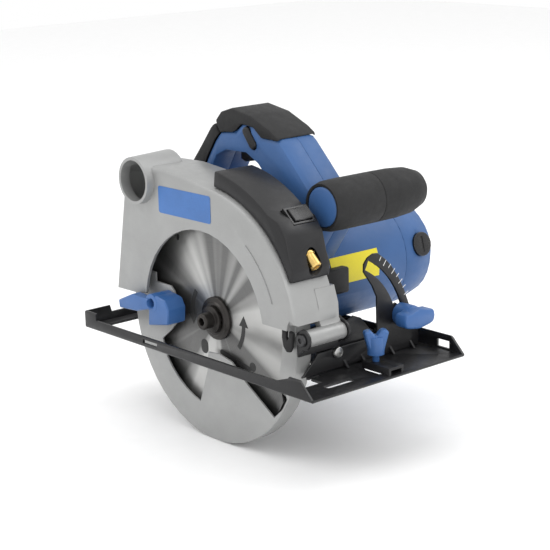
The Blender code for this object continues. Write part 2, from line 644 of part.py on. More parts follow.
def output_spindle():
    """Spindle that carries the blade and the driven gear."""
    arbor = (ARBOR_X, ARBOR_Z)
    nose = BLADE_Y - BLADE_PLATE / 2 - 3.4
    profile = [(0, nose), (SPINDLE_RADIUS, nose), (SPINDLE_RADIUS, -18), (5, -18), (5, 10), (0, 10)]
    spindle = turned(profile, "Y", arbor, 24)
    thread = rod(3.4 + GAP, "Y", arbor, nose - 1, nose + 18, 16)
    return done(cut(spindle, thread), "output_spindle", "bright_steel",
                (ARBOR_X, BLADE_Y, ARBOR_Z))


def toothed_outline(centre, teeth, phase):
    """Simple spur-gear outline about a centre."""
    pitch_radius = GEAR_MODULE * teeth / 2
    points = []
    for i in range(teeth):
        for part, radius in ((-0.3, pitch_radius - 1.35), (-0.12, pitch_radius + 0.85),
                             (0.12, pitch_radius + 0.85), (0.3, pitch_radius - 1.35)):
            turn = phase + math.tau * (i + part) / teeth
            points.append((centre[0] + radius * math.cos(turn),
                           centre[1] + radius * math.sin(turn)))
    return points


GEAR_LOW = -13.5
GEAR_HIGH = -4.5


def drive_gear():
    """Driven gear on the spindle."""
    line = math.atan2(MOTOR_Z - ARBOR_Z, MOTOR_X - ARBOR_X)
    outline = toothed_outline((ARBOR_X, ARBOR_Z), GEAR_TEETH, line)
    gear = prism(outline, "Y", GEAR_LOW, GEAR_HIGH)
    bore = rod(5 + GAP, "Y", (ARBOR_X, ARBOR_Z), GEAR_LOW - 1, GEAR_HIGH + 1, 20)
    return done(cut(gear, bore), "drive_gear", "bright_steel")


MOTOR = (MOTOR_X, MOTOR_Z)
ARMATURE_RADIUS = 4.3
PLATE_LOW = -1.0
PLATE_HIGH = 8.0
BRUSH_Y = 129.0
BRUSH_TURN = math.radians(14)


def gear_housing():
    """Aluminium gear case that carries the front spindle bearing."""
    arbor = (ARBOR_X, ARBOR_Z)
    nose = turned([(0, SPINDLE_HOUSING_NEAR), (16.6, SPINDLE_HOUSING_NEAR), (16.6, -21), (0, -21)],
                  "Y", arbor, 28)
    flange = rod(MOTOR_RADIUS - 1, "Y", MOTOR, -21.2, -17.2, 28)
    add(nose, flange)
    cut(nose, rod(13 + GAP, "Y", arbor, -31.2, -20, 24), rod(SPINDLE_RADIUS + 1, "Y", arbor, -40, 0, 24))
    return done(nose, "gear_housing", "die_cast")


def bearings():
    """Ball-bearing units of the spindle and the armature."""
    arbor = (ARBOR_X, ARBOR_Z)
    sets = (("spindle_bearing_front", SPINDLE_RADIUS, 13, arbor, -30.8, -22),
            ("spindle_bearing_rear", 5, 10.6, arbor, PLATE_LOW + 1, PLATE_HIGH - 1),
            ("armature_bearing_front", ARMATURE_RADIUS, 9.4, MOTOR, PLATE_LOW + 1, PLATE_HIGH - 1),
            ("armature_bearing_rear", ARMATURE_RADIUS, 9.4, MOTOR, 140.5, 147))
    return [done(sleeve(inner + GAP, outer, "Y", centre, low, high, 20), name, "bright_steel")
            for name, inner, outer, centre, low, high in sets]


def bearing_plate():
    """Inner plate that carries the rear spindle and front armature bearings."""
    plate = rod(MOTOR_RADIUS - 3.6, "Y", MOTOR, PLATE_LOW, PLATE_HIGH, 24)
    cut(plate, rod(10.6 + GAP, "Y", (ARBOR_X, ARBOR_Z), PLATE_LOW - 1, PLATE_HIGH + 1, 20),
        rod(9.4 + GAP, "Y", MOTOR, PLATE_LOW - 1, PLATE_HIGH + 1, 20))
    return done(plate, "bearing_plate", "die_cast")


def motor_housing():
    """Blue motor barrel."""
    wall = MOTOR_RADIUS - 3
    profile = [(wall, MOTOR_FRONT), (MOTOR_RADIUS, MOTOR_FRONT), (MOTOR_RADIUS, MOTOR_REAR),
               (wall, MOTOR_REAR)]
    barrel = turned(profile, "Y", MOTOR, 36)
    boss = rod(9, "Y", (41, 27), MOTOR_FRONT + 0.2, 10, 16)
    bulge = rod(24.4, "Y", (ARBOR_X, ARBOR_Z), MOTOR_FRONT + 0.1, -0.6, 28)
    for extra in (boss, bulge):
        cut(extra, rod(wall + 1.5, "Y", MOTOR, MOTOR_FRONT - 1, 12, 36))
        add(barrel, extra)
    cut(barrel, rod(21.8, "Y", (ARBOR_X, ARBOR_Z), MOTOR_FRONT - 1, -2.4, 24))
    return done(barrel, "motor_housing", "blue_plastic")


def motor_end_cover():
    """Blue tapered end cover with vents, brush ports and the rear bearing pocket."""
    low = MOTOR_REAR + GAP
    cover = turned([(0, low), (MOTOR_RADIUS, low), (MOTOR_RADIUS - 0.5, low + 14),
                    (MOTOR_RADIUS - 5, MOTOR_END - 9), (MOTOR_RADIUS - 13, MOTOR_END), (0, MOTOR_END)],
                   "Y", MOTOR, 30)
    hollow = turned([(0, low - 1), (MOTOR_RADIUS - 3, low - 1), (MOTOR_RADIUS - 3.5, low + 13),
                     (MOTOR_RADIUS - 10, MOTOR_END - 13), (0, MOTOR_END - 13)], "Y", MOTOR, 24)
    pocket = rod(9.4 + GAP, "Y", MOTOR, MOTOR_END - 14, MOTOR_END - 4, 20)
    cut(cover, hollow, pocket)
    for side in (1, -1):
        cut(cover, brush_rod(side, 7.2 + GAP, 20, 60), brush_rod(side, 9.8 + GAP, 42.5, 60, 20))
    for i in range(5):
        vent = box((-24, 24), (MOTOR_END - 14, MOTOR_END + 1),
                   (MOTOR_Z + 12 + i * 5.2, MOTOR_Z + 14.4 + i * 5.2))
        if i < 4:
            cut(cover, vent)
        else:
            bpy.data.objects.remove(vent, do_unlink=True)
    return done(cover, "motor_end_cover", "blue_plastic")


def brush_rod(side, radius, low, high, steps=16, bore=0.0):
    """Bar or ring along the brush axis, on one side of the motor."""
    if bore:
        piece = sleeve(bore, radius, "X", (0, 0), low, high, steps)
    else:
        piece = rod(radius, "X", (0, 0), low, high, steps)
    turn = -BRUSH_TURN if side > 0 else math.pi - BRUSH_TURN
    place = Matrix.Translation(Vector((MOTOR_X, BRUSH_Y, MOTOR_Z)) * MM)
    piece.data.transform(place @ Matrix.Rotation(turn, 4, "Y"))
    return piece


def brushes():
    """Brush caps and brass brush tubes on both sides."""
    made = []
    for side, word in ((1, "front"), (-1, "rear")):
        cap = brush_rod(side, 7.2, 38.6, 43.2)
        add(cap, brush_rod(side, 9.8, 42.9, 46, 20))
        slot = box((44.9, 47), (-1.05, 1.05), (-6.55, 6.45))
        turn = -BRUSH_TURN if side > 0 else math.pi - BRUSH_TURN
        place = Matrix.Translation(Vector((MOTOR_X, BRUSH_Y, MOTOR_Z)) * MM)
        slot.data.transform(place @ Matrix.Rotation(turn, 4, "Y"))
        cut(cap, slot)
        made.append(done(cap, f"brush_cap_{word}", "black_plastic"))
        made.append(done(brush_rod(side, 6.2, 17, 38.2, 16, 4.4), f"brush_tube_{word}", "brass"))
    return made


def motor_core():
    """Laminated field core inside the barrel."""
    core = sleeve(25.6 + GAP, MOTOR_RADIUS - 3.4, "Y", MOTOR, 34, 84, 32)
    return done(core, "field_core", "bright_steel")


def field_winding():
    """Field winding: one ring through the core, wider at its two end turns."""
    low, high = 26.0, 92.0
    profile = [(23.2, low), (38, low), (38, 34 - GAP), (25.6, 34 - GAP), (25.6, 84 + GAP),
               (38, 84 + GAP), (38, high), (23.2, high)]
    return done(turned(profile, "Y", MOTOR, 24), "field_winding", "copper")


def armature():
    """Armature shaft with its pinion, laminated core, commutator and fan."""
    line = math.atan2(MOTOR_Z - ARBOR_Z, MOTOR_X - ARBOR_X)
    shaft = rod(ARMATURE_RADIUS, "Y", MOTOR, PLATE_LOW - 0.5, 147, 20)
    pinion = prism(toothed_outline(MOTOR, PINION_TEETH, line + math.pi + math.pi / PINION_TEETH),
                   "Y", GEAR_LOW - 0.5, PLATE_LOW)
    add(shaft, pinion)
    origin = (MOTOR_X, 0, MOTOR_Z)
    bore = ARMATURE_RADIUS + GAP
    core = sleeve(bore, 22.6, "Y", MOTOR, 32, 86, 28)
    commutator = sleeve(bore, 14.6, "Y", MOTOR, 118, 137, 20)
    fan = sleeve(bore, 34, "Y", MOTOR, 12, 14, 28)
    hub = sleeve(bore, 9, "Y", MOTOR, 12, 22, 20)
    add(fan, hub)
    for i in range(7):
        turn = math.tau * i / 7
        blade = box((10, 33), (13.5, 22), (-0.8, 0.8))
        place = Matrix.Translation(Vector((MOTOR_X, 0, MOTOR_Z)) * MM)
        blade.data.transform(place @ Matrix.Rotation(turn, 4, "Y"))
        add(fan, blade)
    return [done(shaft, "armature_shaft", "bright_steel", origin),
            done(core, "armature_core", "bright_steel"),
            done(commutator, "commutator", "copper"),
            done(fan, "cooling_fan", "black_plastic")]


COVER_LOW = -57.0
COVER_HIGH = -20.0
SWITCH_TURN = math.radians(49)
SWITCH = (76.0, -32.5, 117.5)


def cover_outline():
    """Side outline of the laser cover that sits on the guard's rim."""
    inner = arc(COVER_INNER, 26, 83, 14)
    outer = arc(COVER_OUTER, 83, 52, 8)
    front = [(80, 116.5), (88, 106), (91.5, 92), (95.5, 83), (94, 74)]
    return inner + outer + front


def laser_cover():
    """Black cover on the guard's rim that houses the line laser and its switch."""
    cover = prism(cover_outline(), "Y", COVER_LOW, COVER_HIGH)
    soften(cover, 2.4, 2, 50)
    inside = prism(arc(COVER_INNER - 5, 34, 79, 8) + arc(COVER_OUTER - 2.6, 79, 36, 8), "Y",
                   COVER_LOW + 3, COVER_HIGH - 3)
    well = switch_frame(box((-8.4, 8.4), (-11.4, 11.4), (-7, 30)))
    mouth = laser_frame(rod(6.4, "Z", (0, 0), -4, 40, 20))
    cut(cover, inside, well, mouth)
    return done(cover, "laser_cover", "black_plastic")


def switch_frame(obj):
    """Place a piece drawn about the origin on the cover's top."""
    place = Matrix.Translation(Vector(SWITCH) * MM)
    obj.data.transform(place @ Matrix.Rotation(math.pi / 2 - SWITCH_TURN, 4, "Y"))
    return obj


def laser_frame(obj):
    """Place a piece drawn along +Z on the laser's axis."""
    place = Matrix.Translation(Vector((86.5, -35.0, 91.5)) * MM)
    obj.data.transform(place @ Matrix.Rotation(math.radians(132), 4, "Y"))
    return obj


def laser_switch_parts():
    """Rocker switch body and its rocker."""
    body = switch_frame(box((-8, 8), (-11, 11), (-6.6, 1.2)))
    hollow = switch_frame(box((-6, 6), (-9, 9), (-4, 3)))
    cut(body, hollow)
    rocker = switch_frame(prism([(-8.4, -1.6), (-8.4, 2.6), (0, 1.7), (8.4, 4.2), (8.4, 0),
                                 (1.5, -2.8), (-1.5, -2.8)], "X", -5.6, 5.6))
    return [done(body, "laser_switch_body", "black_plastic"),
            done(rocker, "laser_switch_rocker", "black_plastic", SWITCH)]


def laser_module():
    """Brass line-laser barrel."""
    barrel = turned([(0, 0.5), (5, 0.5), (5, 3), (4.4, 3), (4.4, 12.5), (3.6, 13.2), (2, 13.2),
                     (2, 10), (0, 10)], "Z", (0, 0), 20)
    return done(laser_frame(barrel), "laser_module", "brass")


def guard_bumper():
    """Rubber stop hung at the guard's front end."""
    bumper = prism([(84, 43), (83, 33), (84.6, 26), (88, 22.6), (91.4, 23), (93.6, 27), (94.4, 33),
                    (94.8, 38), (91, 39), (90.4, 34), (88.6, 31), (87.4, 34), (88, 42)],
                   "Y", -58, -55.2)
    return done(bumper, "guard_bumper", "soft_grip")


def depth_clamp():
    """Clamping bolt of the depth strap and its lever."""
    bolt = turned([(0, GUARD_BACK_WALL + 0.3), (PIN_RADIUS, GUARD_BACK_WALL + 0.3),
                   (PIN_RADIUS, GUARD_BACK_WALL + 3 + GAP), (6, GUARD_BACK_WALL + 3 + GAP),
                   (6, STRAP_Y - GAP), (PIN_RADIUS, STRAP_Y - GAP), (PIN_RADIUS, -8.4), (0, -8.4)],
                  "Y", CLAMP, 16)
    low = STRAP_Y + SHEET + GAP
    x, z = CLAMP
    lever = rod(8, "Y", CLAMP, low, low + 7, 20)
    arm = prism([(x - 5, z - 5), (x - 8, z + 30), (x - 6, z + 38), (x + 1, z + 38), (x + 5, z + 4)],
                "Y", low + 2, low + 7)
    soften(arm, 1, 1)
    add(lever, arm)
    cut(lever, rod(PIN_RADIUS + GAP, "Y", CLAMP, low - 1, low + 9, 16))
    return [done(bolt, "depth_clamp_bolt", "bright_steel"),
            done(lever, "depth_lever", "blue_plastic", (x, low, z))]


HANDLE_NEAR = HANDLE_Y - HANDLE_HALF
HANDLE_FAR = HANDLE_Y + HANDLE_HALF
CAP_LINE = [(22, 163), (4, 163), (-5, 170), (-20, 172), (-28, 164), (-46, 163)]
LOOP = [(-50, 143), (-38, 148.5), (-14, 149), (0, 142), (16, 126), (25, 112), (20, 103.5), (0, 101.5),
        (-30, 99), (-60, 97), (-67, 104), (-63, 122)]
BUTTON = (-9.0, 160.5)
TRIGGER_X = (-37.0, -16.0)


def handle_outline():
    """Side outline of the blue handle, below the black top grip."""
    return [(66, 101), (68, 112), (58, 126), (40, 144.5)] + CAP_LINE + \
        [(-53, 155), (-62, 142), (-73, 124), (-79, 108), (-76, 88), (-60, 72), (-44, 62),
         (0, 56), (44, 70)]


def handle_half(name, near, far):
    """One half of the hollow handle, split down its middle plane."""
    body = prism(handle_outline(), "Y", HANDLE_NEAR, HANDLE_FAR)
    soften(body, 6.5, 2, 38)
    loop = prism(LOOP, "Y", HANDLE_NEAR - 1, HANDLE_FAR + 1)
    barrel = rod(MOTOR_RADIUS + GAP, "Y", MOTOR, HANDLE_NEAR - 1, HANDLE_FAR + 1, 40)
    keep = box((-200, 200), (near, far), (0, 300))
    front = rod(GRIP_RADIUS + GAP, "Y", (GRIP_X, GRIP_Z), HANDLE_NEAR - 1, HANDLE_FAR + 1, 32)
    cut(body, loop, barrel, front)
    combine(body, [keep], "INTERSECT")
    inside_low = HANDLE_NEAR + 4
    inside_high = HANDLE_FAR - 4
    pocket = prism([(-42, 153), (-4, 153), (14, 140), (38, 124), (44, 133), (24, 152), (12, 158.5),
                    (-42, 159)], "Y", inside_low, inside_high)
    slot = box((TRIGGER_X[0] - GAP, TRIGGER_X[1] + GAP), (HANDLE_Y - 7 - GAP, HANDLE_Y + 7 + GAP),
               (140, 155))
    cut(body, pocket, slot)
    if near < HANDLE_NEAR:
        cut(body, prism(capsule(BUTTON, 20 + 2 * GAP, 7.4 + 2 * GAP, 128), "Y", HANDLE_NEAR - 1, inside_low + 1))
    return done(body, name, "blue_plastic")


def grips():
    """Black top grip and rear grip that cover the handle."""
    low, high = HANDLE_NEAR + 0.2, HANDLE_FAR - 0.2
    seam = [(x, z - 3) for x, z in reversed(CAP_LINE)]
    seam[0] = (-45.6, 160)
    crest = [(22, 162), (22, 163.6), (14, 168.4), (-8, 177.6), (-31, 181.5), (-44, 177.5), (-51, 170)]
    cap = prism(seam + crest, "Y", low, high)
    soften(cap, 5.5, 2, 30)
    inner = [(-47, 150), (-56, 140), (-68, 122), (-74, 108), (-73, 96)]
    outer = [(-80, 92), (-87, 108), (-86, 130), (-70, 149), (-58, 164), (-53, 168.4), (-46.6, 159.6)]
    back = prism(inner + outer, "Y", low, high)
    soften(back, 3, 2, 38)
    for grip, shift in ((cap, (0, 0, 0.6)), (back, (-0.5, 0, 0.3))):
        space = soften(prism(handle_outline(), "Y", HANDLE_NEAR - 2, HANDLE_FAR + 2), 6.5, 2, 38)
        space.data.transform(Matrix.Translation(Vector(shift) * MM))
        cut(grip, space)
    return [done(cap, "top_grip", "soft_grip"), done(back, "rear_grip", "soft_grip")]


def trigger():
    """Switch trigger under the handle's top bar."""
    x0, x1 = TRIGGER_X
    body = prism([(x0, 153.5), (x0, 139), (x0 + 5, 137.5), (x1 - 6, 139.5), (x1, 143), (x1, 153.5)], "Y",
                 HANDLE_Y - 7, HANDLE_Y + 7)
    soften(body, 1.5, 1)
    return done(body, "switch_trigger", "black_plastic", ((x0 + x1) / 2, HANDLE_Y, 150))


def lock_off_button():
    """Lock-off button on the blade side of the handle."""
    body = prism(capsule(BUTTON, 20, 7.4, 128), "Y", HANDLE_NEAR - 2.2, HANDLE_NEAR + 2.4)
    soften(body, 1.2, 1)
    return done(body, "lock_off_button", "black_plastic",
                (BUTTON[0], HANDLE_NEAR, BUTTON[1]))


def switch_body():
    """Electrical switch inside the handle."""
    body = box((-13, 9), (HANDLE_Y - 10, HANDLE_Y + 10), (153.4, 158))
    return done(body, "switch_body", "black_plastic")


def cord_gland():
    """Cord inlet ring at the handle's rear."""
    gland = turned([(4.2, 35.4), (9, 35.4), (8.4, 50), (6.4, 54), (4.2, 54)], "Y", (-62, 84), 20)
    return done(gland, "cord_gland", "black_plastic")


def aux_handle():
    """Front grip in two parts on a blue core that joins the main handle."""
    centre = (GRIP_X, GRIP_Z)
    r = GRIP_RADIUS
    near = turned([(9 + GAP, -5), (15.4, -5), (15.4, -9), (17.4, -9.4), (r - 0.3, -4), (r, 8),
                   (r, 38), (9 + GAP, 38)], "Y", centre, 32)
    far = turned([(9 + GAP, 38.3), (r, 38.3), (r - 0.2, 60), (r - 1.4, 76), (r - 5, 87),
                  (r - 11, 93.4), (0, 95), (0, 89), (9 + GAP, 89)], "Y", centre, 32)
    core = turned([(0, -9.6), (13, -9.6), (15, -8.6), (15, -5.35), (9, -5.35), (9, 88), (0, 88)],
                  "Y", centre, 24)
    arm = box((42, GRIP_X), (6, 26), (104, 126))
    soften(arm, 3, 1)
    add(core, arm)
    keyway = box((30, GRIP_X + GAP), (6 - GAP, 26 + GAP), (104 - GAP, 126 + GAP))
    cut(near, keyway)
    body = handle_cutter()
    cut(core, body)
    return [done(near, "aux_grip_near", "soft_grip"), done(far, "aux_grip_far", "soft_grip"),
            done(core, "aux_handle_core", "blue_plastic")]


def handle_cutter():
    """Space the handle takes, used to end the core's arm against it."""
    grown = [(66 + GAP, 90), (66 + GAP, 101), (68 + GAP, 112), (58 + GAP, 126.4), (40, 146), (0, 160),
             (0, 90)]
    space = prism(grown, "Y", HANDLE_NEAR - 2, HANDLE_FAR + 2)
    return cut(space, rod(GRIP_RADIUS, "Y", (GRIP_X, GRIP_Z), HANDLE_NEAR - 3, HANDLE_FAR + 3, 32))


def spindle_lock():
    """Spindle-lock push block on the motor barrel."""
    block = box((MOTOR_RADIUS + 4.4, MOTOR_RADIUS + 13), (6, 35), (44, 64))
    soften(block, 1.5, 1)
    add(block, rod(3, "X", (17, MOTOR_Z), MOTOR_RADIUS - 7, MOTOR_RADIUS + 5, 14))
    return done(block, "spindle_lock_button", "black_plastic",
                (MOTOR_RADIUS + 4.4, 17, MOTOR_Z))


def build():
    """Make every piece."""
    clear_scene()
    sole_plate()
    rivets()
    bevel_quadrant()
    rear_bevel_bracket()
    bevel_pins()
    fence_wing_screw()
    tilt_bracket_front()
    tilt_bracket_rear()
    bevel_stud()
    bevel_knob()
    depth_pivot_pin()
    upper_guard()
    lower_guard_shell()
    guard_lever()
    guard_spring()
    saw_blade()
    blade_flanges()
    blade_bolt()
    output_spindle()
    drive_gear()
    gear_housing()
    bearings()
    bearing_plate()
    housing = motor_housing()
    cut(housing, rod(3 + GAP, "X", (17, MOTOR_Z), MOTOR_RADIUS - 9, MOTOR_RADIUS + 5, 14))
    done(housing, "motor_housing", "blue_plastic")
    motor_end_cover()
    brushes()
    motor_core()
    field_winding()
    armature()
    laser_cover()
    laser_switch_parts()
    laser_module()
    guard_bumper()
    depth_clamp()
    handle_half("handle_shell_right", -100, HANDLE_Y - 0.15)
    handle_half("handle_shell_left", HANDLE_Y + 0.15, 100)
    grips()
    trigger()
    lock_off_button()
    switch_body()
    cord_gland()
    aux_handle()
    spindle_lock()


build()
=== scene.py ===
import json
import math

import bmesh
import bpy
from bpy.props import FloatProperty, FloatVectorProperty, IntProperty, PointerProperty
from bpy.types import Operator, Panel, PropertyGroup
from mathutils import Matrix, Vector

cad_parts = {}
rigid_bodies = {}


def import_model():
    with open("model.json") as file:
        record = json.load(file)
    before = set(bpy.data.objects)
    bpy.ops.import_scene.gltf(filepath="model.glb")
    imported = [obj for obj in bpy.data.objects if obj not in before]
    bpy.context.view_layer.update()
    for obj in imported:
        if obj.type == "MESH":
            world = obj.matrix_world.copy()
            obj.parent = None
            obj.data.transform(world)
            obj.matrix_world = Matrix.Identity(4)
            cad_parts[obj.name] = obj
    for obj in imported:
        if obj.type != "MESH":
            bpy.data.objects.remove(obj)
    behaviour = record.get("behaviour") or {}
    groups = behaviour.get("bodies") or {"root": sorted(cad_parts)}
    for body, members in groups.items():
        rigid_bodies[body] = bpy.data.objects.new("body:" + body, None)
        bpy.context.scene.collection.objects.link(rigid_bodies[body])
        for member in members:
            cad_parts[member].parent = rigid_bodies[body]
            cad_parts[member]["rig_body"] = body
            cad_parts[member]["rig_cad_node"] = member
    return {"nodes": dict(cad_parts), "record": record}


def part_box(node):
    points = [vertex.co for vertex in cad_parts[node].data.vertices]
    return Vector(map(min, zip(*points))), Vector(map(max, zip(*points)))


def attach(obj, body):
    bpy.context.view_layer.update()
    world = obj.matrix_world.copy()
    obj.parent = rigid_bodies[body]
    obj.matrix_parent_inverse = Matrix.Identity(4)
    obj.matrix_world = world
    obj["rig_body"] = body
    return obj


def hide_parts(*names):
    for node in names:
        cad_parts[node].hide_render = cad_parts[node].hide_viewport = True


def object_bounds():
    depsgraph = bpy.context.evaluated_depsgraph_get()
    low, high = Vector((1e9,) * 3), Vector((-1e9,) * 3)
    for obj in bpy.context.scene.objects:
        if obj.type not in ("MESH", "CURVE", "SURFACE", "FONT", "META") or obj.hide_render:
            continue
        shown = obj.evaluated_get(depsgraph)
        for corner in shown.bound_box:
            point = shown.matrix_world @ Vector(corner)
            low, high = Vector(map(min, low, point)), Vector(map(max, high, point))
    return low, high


bl_info = {
    "name": "Circular saw",
    "version": (1, 0, 0),
    "blender": (4, 5, 0),
    "location": "3D View > Sidebar > Saw",
    "description": "Builds the visual model of a circular saw on its packed frame",
    "category": "Object",
}

for extra in list(bpy.data.objects):
    bpy.data.objects.remove(extra, do_unlink=True)
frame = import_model()
CAD_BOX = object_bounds()

# Finish of each frame node: (material, edge rounding in metres, segments).
REFINED = {
    "sole_plate": ("sole_steel", 0.0006, 2),
    "bevel_quadrant": ("sole_steel", 0.0004, 2),
    "rear_bevel_bracket": ("sole_steel", 0.0004, 2),
    "tilt_bracket_front": ("sole_steel", 0.0004, 2),
    "tilt_bracket_rear": ("sole_steel", 0.0004, 2),
    "rivet_front": ("zinc", 0.0003, 2),
    "rivet_rear": ("zinc", 0.0003, 2),
    "bevel_pin_front": ("zinc", 0.0003, 2),
    "bevel_pin_rear": ("zinc", 0.0003, 2),
    "bevel_stud": ("zinc", 0.0003, 2),
    "depth_pivot_pin": ("zinc_dark", 0.0004, 2),
    "bevel_knob": ("blue_knob", 0.0012, 3),
    "fence_wing_screw": ("blue_knob", 0.0010, 3),
    "upper_guard": ("casting", 0.0008, 3),
    "lower_guard_shell": ("casting_light", 0.0006, 3),
    "guard_lever": ("blue_knob", 0.0010, 3),
    "guard_spring": ("zinc", 0.0001, 1),
    "saw_blade": ("blade_steel", 0.0002, 1),
    "inner_flange": ("zinc", 0.0003, 2),
    "outer_flange": ("oxide_steel", 0.0005, 3),
    "blade_bolt": ("oxide_steel", 0.0005, 3),
    "output_spindle": ("zinc", 0.0003, 2),
    "drive_gear": ("zinc", 0.0002, 1),
    "gear_housing": ("casting", 0.0006, 2),
    "bearing_plate": ("casting", 0.0005, 2),
    "spindle_bearing_front": ("zinc", 0.0003, 2),
    "spindle_bearing_rear": ("zinc", 0.0003, 2),
    "armature_bearing_front": ("zinc", 0.0003, 2),
    "armature_bearing_rear": ("zinc", 0.0003, 2),
    "motor_housing": ("blue_shell", 0.0008, 3),
    "motor_end_cover": ("blue_shell", 0.0010, 3),
    "brush_cap_front": ("black_gloss", 0.0005, 3),
    "brush_cap_rear": ("black_gloss", 0.0005, 3),
    "brush_tube_front": ("brass", 0.0003, 2),
    "brush_tube_rear": ("brass", 0.0003, 2),
    "field_core": ("zinc", 0.0003, 2),
    "field_winding": ("copper", 0.0005, 2),
    "armature_shaft": ("zinc", 0.0002, 1),
    "armature_core": ("zinc", 0.0003, 2),
    "commutator": ("copper", 0.0003, 2),
    "cooling_fan": ("black_shell", 0.0003, 2),
    "laser_cover": ("black_shell", 0.0010, 3),
    "laser_switch_body": ("black_gloss", 0.0004, 2),
    "laser_switch_rocker": ("black_gloss", 0.0006, 3),
    "laser_module": ("brass", 0.0003, 2),
    "guard_bumper": ("rubber", 0.0006, 2),
    "depth_clamp_bolt": ("zinc", 0.0003, 2),
    "depth_lever": ("blue_knob", 0.0008, 3),
    "handle_shell_right": ("blue_shell", 0.0008, 3),
    "handle_shell_left": ("blue_shell", 0.0008, 3),
    "top_grip": ("rubber", 0.0016, 3),
    "rear_grip": ("rubber", 0.0014, 3),
    "switch_trigger": ("black_shell", 0.0012, 3),
    "lock_off_button": ("black_shell", 0.0010, 3),
    "switch_body": ("black_shell", 0.0005, 2),
    "cord_gland": ("black_shell", 0.0005, 2),
    "aux_grip_near": ("rubber", 0.0012, 3),
    "aux_grip_far": ("rubber", 0.0012, 3),
    "aux_handle_core": ("blue_shell", 0.0010, 3),
    "spindle_lock_button": ("black_shell", 0.0010, 3),
}

# Thicknesses of labels and printed marks, and the shapes of the marks, in metres and degrees.
LABEL_DEPTH = 0.0002
PRINT_DEPTH = 0.0001
ARROW_REACH = 0.0305
ARROW_HALF = 0.002
ARROW_FLARE = 2.6
ARROW_TIP = 0.0085
TICK_WIDTH = 0.0005
TICK_OUTER = 0.0774
TICK_START = 17
TICK_SWEEP = 41


class SawProperties(PropertyGroup):
    """Sizes and colours of the saw's visual model."""

    arbor: FloatVectorProperty(name="Arbor", description="Point on the blade's axis",
                               default=(-0.004, -0.0452, 0.0275), size=3, subtype="XYZ",
                               unit="LENGTH")
    blade_face: FloatProperty(name="Blade face", description="Y of the blade's outer face",
                              default=-0.046, unit="LENGTH", precision=5)
    guard_face: FloatProperty(name="Guard face", description="Y of the upper guard's outer face",
                              default=-0.061, unit="LENGTH", precision=5)
    motor_centre: FloatVectorProperty(name="Motor axis", description="X and Z of the motor's axis",
                                      default=(0.0, 0.05238), size=2, unit="LENGTH")
    motor_radius: FloatProperty(name="Motor radius", description="Radius of the motor barrel",
                                default=0.045, unit="LENGTH")
    bevel_centre: FloatVectorProperty(name="Bevel axis", description="Y and Z of the bevel hinge",
                                      default=(-0.015, 0.015), size=2, unit="LENGTH")
    tick_count: IntProperty(name="Ticks", description="Marks on the bevel quadrant", default=10,
                            min=2)
    label_blue: FloatVectorProperty(name="Label blue", description="Colour of the guard's label",
                                    default=(0.034, 0.13, 0.37), size=3, subtype="COLOR")
    label_yellow: FloatVectorProperty(name="Label yellow",
                                      description="Colour of the motor's label",
                                      default=(0.80, 0.68, 0.02), size=3, subtype="COLOR")
    camera_place: FloatVectorProperty(name="Camera", description="Camera position",
                                      default=(0.91397, -0.78557, 0.36197), size=3,
                                      subtype="TRANSLATION", unit="LENGTH")
    camera_turn: FloatVectorProperty(name="Camera angles",
                                     description="Azimuth, elevation and roll in degrees",
                                     default=(48.984, 14.363, -1.298), size=3)
    lens: FloatProperty(name="Lens", description="Focal length in millimetres", default=104.85)


# ---------------------------------------------------------------- materials

MATERIALS = {}


def start_material(name):
    """Return a new material's node tree and its Principled shader."""
    material = bpy.data.materials.new(name)
    material.use_nodes = True
    tree = material.node_tree
    return material, tree, tree.nodes["Principled BSDF"]


def noise(tree, vector, scale, detail=4.0, roughness=0.55):
    """Add a noise texture in object space."""
    node = tree.nodes.new("ShaderNodeTexNoise")
    node.inputs["Scale"].default_value = scale
    node.inputs["Detail"].default_value = detail
    node.inputs["Roughness"].default_value = roughness
    tree.links.new(vector, node.inputs["Vector"])
    return node.outputs["Fac"]


def remap(tree, value, low, high, start=0.3, end=0.7):
    """Map a factor's middle band onto another range."""
    node = tree.nodes.new("ShaderNodeMapRange")
    node.inputs["From Min"].default_value = start
    node.inputs["From Max"].default_value = end
    node.inputs["To Min"].default_value = low
    node.inputs["To Max"].default_value = high
    tree.links.new(value, node.inputs["Value"])
    return node.outputs["Result"]


def mix_colour(tree, factor, first, second):
    """Blend two colours (values or sockets) by a factor."""
    node = tree.nodes.new("ShaderNodeMix")
    node.data_type = "RGBA"
    tree.links.new(factor, node.inputs["Factor"])
    for socket, colour in ((node.inputs[6], first), (node.inputs[7], second)):
        if isinstance(colour, tuple):
            socket.default_value = (*colour, 1.0)
        else:
            tree.links.new(colour, socket)
    return node.outputs[2]


def object_space(tree):
    """Object coordinates."""
    return tree.nodes.new("ShaderNodeTexCoord").outputs["Object"]


